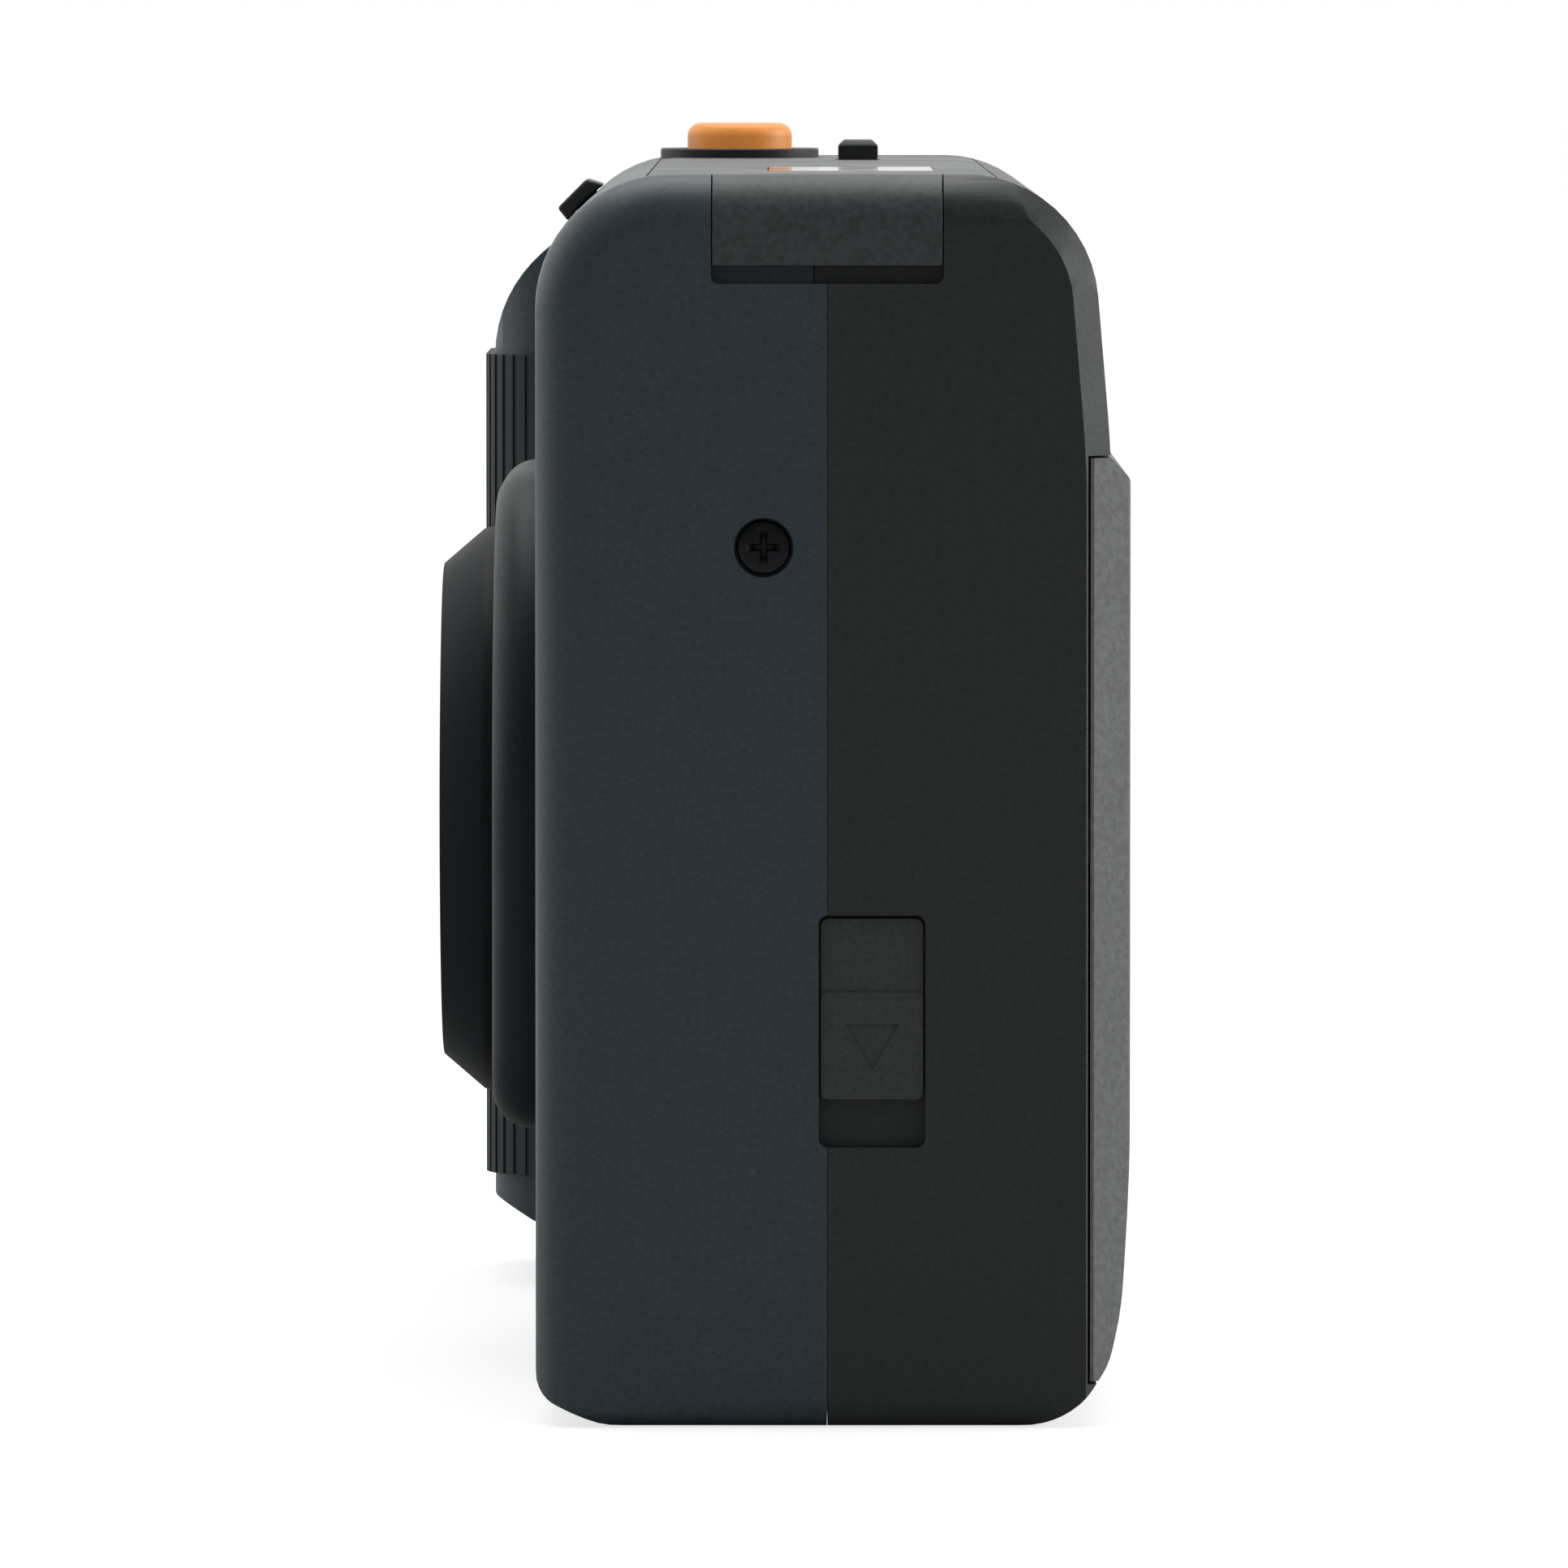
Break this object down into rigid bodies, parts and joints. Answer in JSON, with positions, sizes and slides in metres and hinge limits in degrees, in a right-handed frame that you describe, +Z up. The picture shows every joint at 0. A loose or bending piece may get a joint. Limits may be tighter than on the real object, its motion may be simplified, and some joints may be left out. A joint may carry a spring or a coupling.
{
  "type": "compact film camera",
  "caption": "Compact film camera with hand grip, conical lens ring, hinged back door with a side latch, orange shutter button and sliding main switch.",
  "frame": {"origin": "centre of the tripod socket's mouth, on the base", "axes": "+X towards the user's left hand (the side in the picture), lens along -Y, +Z up"},
  "size_m": [0.126, 0.0389, 0.0711],
  "materials": {
    "front_case": "fine satin moulding, blue grey",
    "rear_case": "fine satin moulding, neutral dark grey",
    "cover": "fine grained moulding",
    "door_panel": "grained panel",
    "ring_black": "matt black moulding",
    "grip_rubber": "ribbed soft rubber",
    "button_orange": "smooth satin orange",
    "control_grey": "satin",
    "clear_window": "polished",
    "optical_glass": "coated and polished",
    "inner_black": "matt black",
    "steel": "plain",
    "dark_steel": "blackened",
    "brass": "turned",
    "gear_white": "plain acetal",
    "board_green": "lacquered board",
    "panel_grey": "display glass",
    "mirror_tin": "bright",
    "cell_gold": "printed sleeve, plain",
    "foam": "foam"
  },
  "bodies": {
    "camera_body": {"front_shell": "front_case", "rear_shell": "rear_case", "top_cover": "cover", "lens_surround": "front_case", "lens_ring": "ring_black", "grip_pad": "grip_rubber", "button_collar": "control_grey", "counter_window": "clear_window", "counter_panel": "panel_grey", "finder_window": "clear_window", "flash_window": "clear_window", "autofocus_windows": "clear_window", "shutter_button_spring": "steel", "barrier_plate": "inner_black", "front_lens_cell": "inner_black", "front_lens": "optical_glass", "middle_lens": "optical_glass", "shutter_housing": "inner_black", "rear_lens_cell": "inner_black", "rear_lens": "optical_glass", "chassis": "inner_black", "film_motor": "steel", "hinge_pin": "steel", "latch_spring": "steel", "finder_housing": "inner_black", "finder_objective": "optical_glass", "finder_eyepiece": "optical_glass", "flash_reflector": "mirror_tin", "flash_tube": "clear_window", "flash_capacitor": "inner_black", "autofocus_module": "inner_black", "circuit_board": "board_green", "battery_box": "inner_black", "battery": "cell_gold", "battery_contact": "steel", "case_screws": "dark_steel", "tripod_socket": "brass"},
    "shutter_button": {"shutter_button": "button_orange"},
    "mode_button": {"mode_button": "control_grey"},
    "main_switch": {"main_switch": "control_grey"},
    "barrier_upper": {"barrier_blade_upper": "dark_steel"},
    "barrier_lower": {"barrier_blade_lower": "dark_steel"},
    "shutter_upper": {"shutter_blade_upper": "dark_steel"},
    "shutter_lower": {"shutter_blade_lower": "dark_steel"},
    "takeup_spool": {"takeup_spool": "inner_black"},
    "motor_pinion": {"motor_pinion": "brass"},
    "reduction_gear": {"reduction_gear": "gear_white"},
    "sprocket": {"sprocket": "inner_black"},
    "rewind_fork": {"rewind_fork": "gear_white"},
    "transfer_gear_1": {"transfer_gear_1": "gear_white"},
    "transfer_gear_2": {"transfer_gear_2": "gear_white"},
    "transfer_gear_3": {"transfer_gear_3": "gear_white"},
    "back_door": {"back_door": "door_panel", "film_window": "clear_window", "door_seal": "foam", "pressure_spring": "steel"},
    "pressure_plate": {"pressure_plate": "inner_black"},
    "latch": {"latch_slider": "control_grey"},
    "battery_door": {"battery_door": "front_case", "battery_door_contact": "steel"}
  },
  "joints": [
    {"name": "shutter_button_press", "type": "slide", "parent": "camera_body", "child": "shutter_button", "axis": [0, 0, -1], "range_m": [0, 0.001], "stiffness_N_per_m": 300, "springref_m": -0.0006, "deforming": ["shutter_button_spring"]},
    {"name": "mode_button_press", "type": "slide", "parent": "camera_body", "child": "mode_button", "axis": [0, 0, -1], "range_m": [0, 0.0005], "stiffness_N_per_m": 200, "springref_m": -0.0005},
    {"name": "main_switch_slide", "type": "slide", "parent": "camera_body", "child": "main_switch", "axis": [-1, 0, 0], "range_m": [0, 0.005]},
    {"name": "barrier_upper_swing", "type": "hinge", "parent": "camera_body", "child": "barrier_upper", "pos_m": [0.019, -0.0195, 0.0327], "axis": [0, -1, 0], "range_deg": [0, 38]},
    {"name": "barrier_lower_swing", "type": "hinge", "parent": "camera_body", "child": "barrier_lower", "pos_m": [0.019, -0.0195, 0.0303], "axis": [0, 1, 0], "range_deg": [0, 38]},
    {"name": "shutter_upper_swing", "type": "hinge", "parent": "camera_body", "child": "shutter_upper", "pos_m": [-0.0006, -0.0132, 0.0315], "axis": [0, -1, 0], "range_deg": [0, 40], "stiffness_Nm_per_rad": 0.0006, "springref_deg": -20.05},
    {"name": "shutter_lower_swing", "type": "hinge", "parent": "camera_body", "child": "shutter_lower", "pos_m": [-0.0006, -0.0132, 0.0315], "axis": [0, 1, 0], "range_deg": [0, 40]},
    {"name": "spool_spin", "type": "hinge", "parent": "camera_body", "child": "takeup_spool", "pos_m": [-0.0295, -0.0015, 0.0315], "axis": [0, 0, 1], "continuous": true},
    {"name": "motor_pinion_spin", "type": "hinge", "parent": "camera_body", "child": "motor_pinion", "pos_m": [-0.0295, -0.0015, 0.004], "axis": [0, 0, 1], "continuous": true},
    {"name": "reduction_gear_spin", "type": "hinge", "parent": "camera_body", "child": "reduction_gear", "pos_m": [-0.0197, 0.00049, 0.004], "axis": [0, 0, 1], "continuous": true},
    {"name": "sprocket_spin", "type": "hinge", "parent": "camera_body", "child": "sprocket", "pos_m": [-0.0152, 0.0053, 0.0315], "axis": [0, 0, 1], "continuous": true},
    {"name": "rewind_fork_spin", "type": "hinge", "parent": "camera_body", "child": "rewind_fork", "pos_m": [0.0445, -0.0003, 0.004], "axis": [0, 0, 1], "continuous": true},
    {"name": "transfer_gear_1_spin", "type": "hinge", "parent": "camera_body", "child": "transfer_gear_1", "pos_m": [0.03267, -0.0023, 0.004], "axis": [0, 0, 1], "continuous": true},
    {"name": "transfer_gear_2_spin", "type": "hinge", "parent": "camera_body", "child": "transfer_gear_2", "pos_m": [0.02084, -0.0043, 0.004], "axis": [0, 0, 1], "continuous": true},
    {"name": "transfer_gear_3_spin", "type": "hinge", "parent": "camera_body", "child": "transfer_gear_3", "pos_m": [0.009, -0.0063, 0.004], "axis": [0, 0, 1], "continuous": true},
    {"name": "back_door_hinge", "type": "hinge", "parent": "camera_body", "child": "back_door", "pos_m": [-0.0598, 0.0159, 0.028], "axis": [0, 0, 1], "range_deg": [0, 105]},
    {"name": "pressure_plate_float", "type": "slide", "parent": "back_door", "child": "pressure_plate", "axis": [0, -1, 0], "range_m": [0, 0.0002], "stiffness_N_per_m": 60, "springref_m": 0.0008},
    {"name": "latch_slide", "type": "slide", "parent": "camera_body", "child": "latch", "axis": [0, 0, -1], "range_m": [0, 0.0024], "stiffness_N_per_m": 150, "springref_m": -0.001, "deforming": ["latch_spring"]},
    {"name": "battery_door_hinge", "type": "hinge", "parent": "camera_body", "child": "battery_door", "pos_m": [-0.042, -0.0055, 0.00075], "axis": [0, -1, 0], "range_deg": [0, 95]}
  ],
  "couplings": [
    {"joint": "barrier_upper_swing", "follows": "main_switch_slide", "rad_per_m": 132.65},
    {"joint": "barrier_lower_swing", "follows": "main_switch_slide", "rad_per_m": 132.65},
    {"joint": "shutter_lower_swing", "follows": "shutter_upper_swing", "ratio": 1},
    {"joint": "reduction_gear_spin", "follows": "spool_spin", "ratio": -3},
    {"joint": "motor_pinion_spin", "follows": "spool_spin", "ratio": 9},
    {"joint": "transfer_gear_1_spin", "follows": "rewind_fork_spin", "ratio": -1},
    {"joint": "transfer_gear_2_spin", "follows": "rewind_fork_spin", "ratio": 1},
    {"joint": "transfer_gear_3_spin", "follows": "rewind_fork_spin", "ratio": -1}
  ]
}
